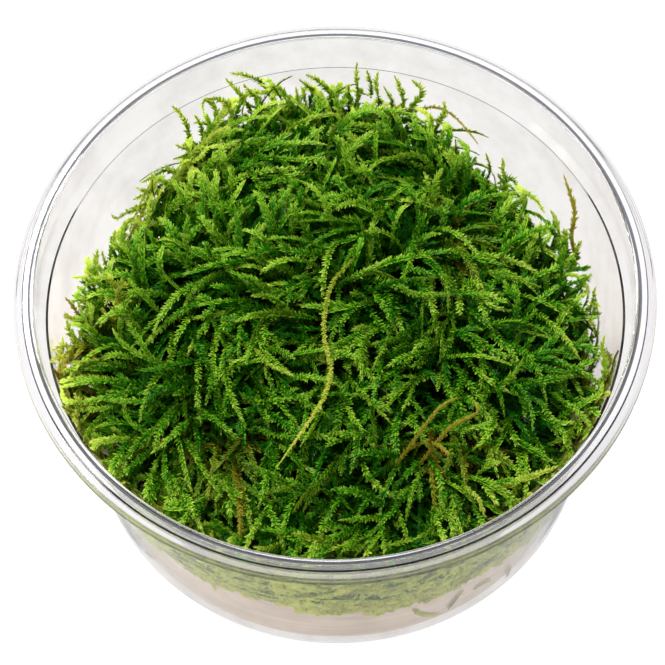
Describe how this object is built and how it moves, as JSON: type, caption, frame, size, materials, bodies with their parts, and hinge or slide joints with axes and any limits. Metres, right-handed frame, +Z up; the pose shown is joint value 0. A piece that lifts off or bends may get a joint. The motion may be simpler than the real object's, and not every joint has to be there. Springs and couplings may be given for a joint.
{
  "type": "moss clump in a clear tub",
  "caption": "Cushion of leafy green aquatic moss growing on pale gel in a low round clear plastic tub with a flanged rim.",
  "frame": {"origin": "centre of the tub's flat base", "axes": "+Z up along the tub's axis, -Y towards the camera of the picture, +X to its right"},
  "size_m": [0.101, 0.101, 0.0503],
  "materials": {
    "clear_plastic": "clear, glossy rim and faintly hazed wall",
    "pale_gel": "translucent, smooth",
    "moss": "small overlapping leaves, slightly moist"
  },
  "bodies": {
    "root": {"tub": "clear_plastic", "nutrient_gel": "pale_gel", "moss_clump": "moss"}
  },
  "joints": []
}
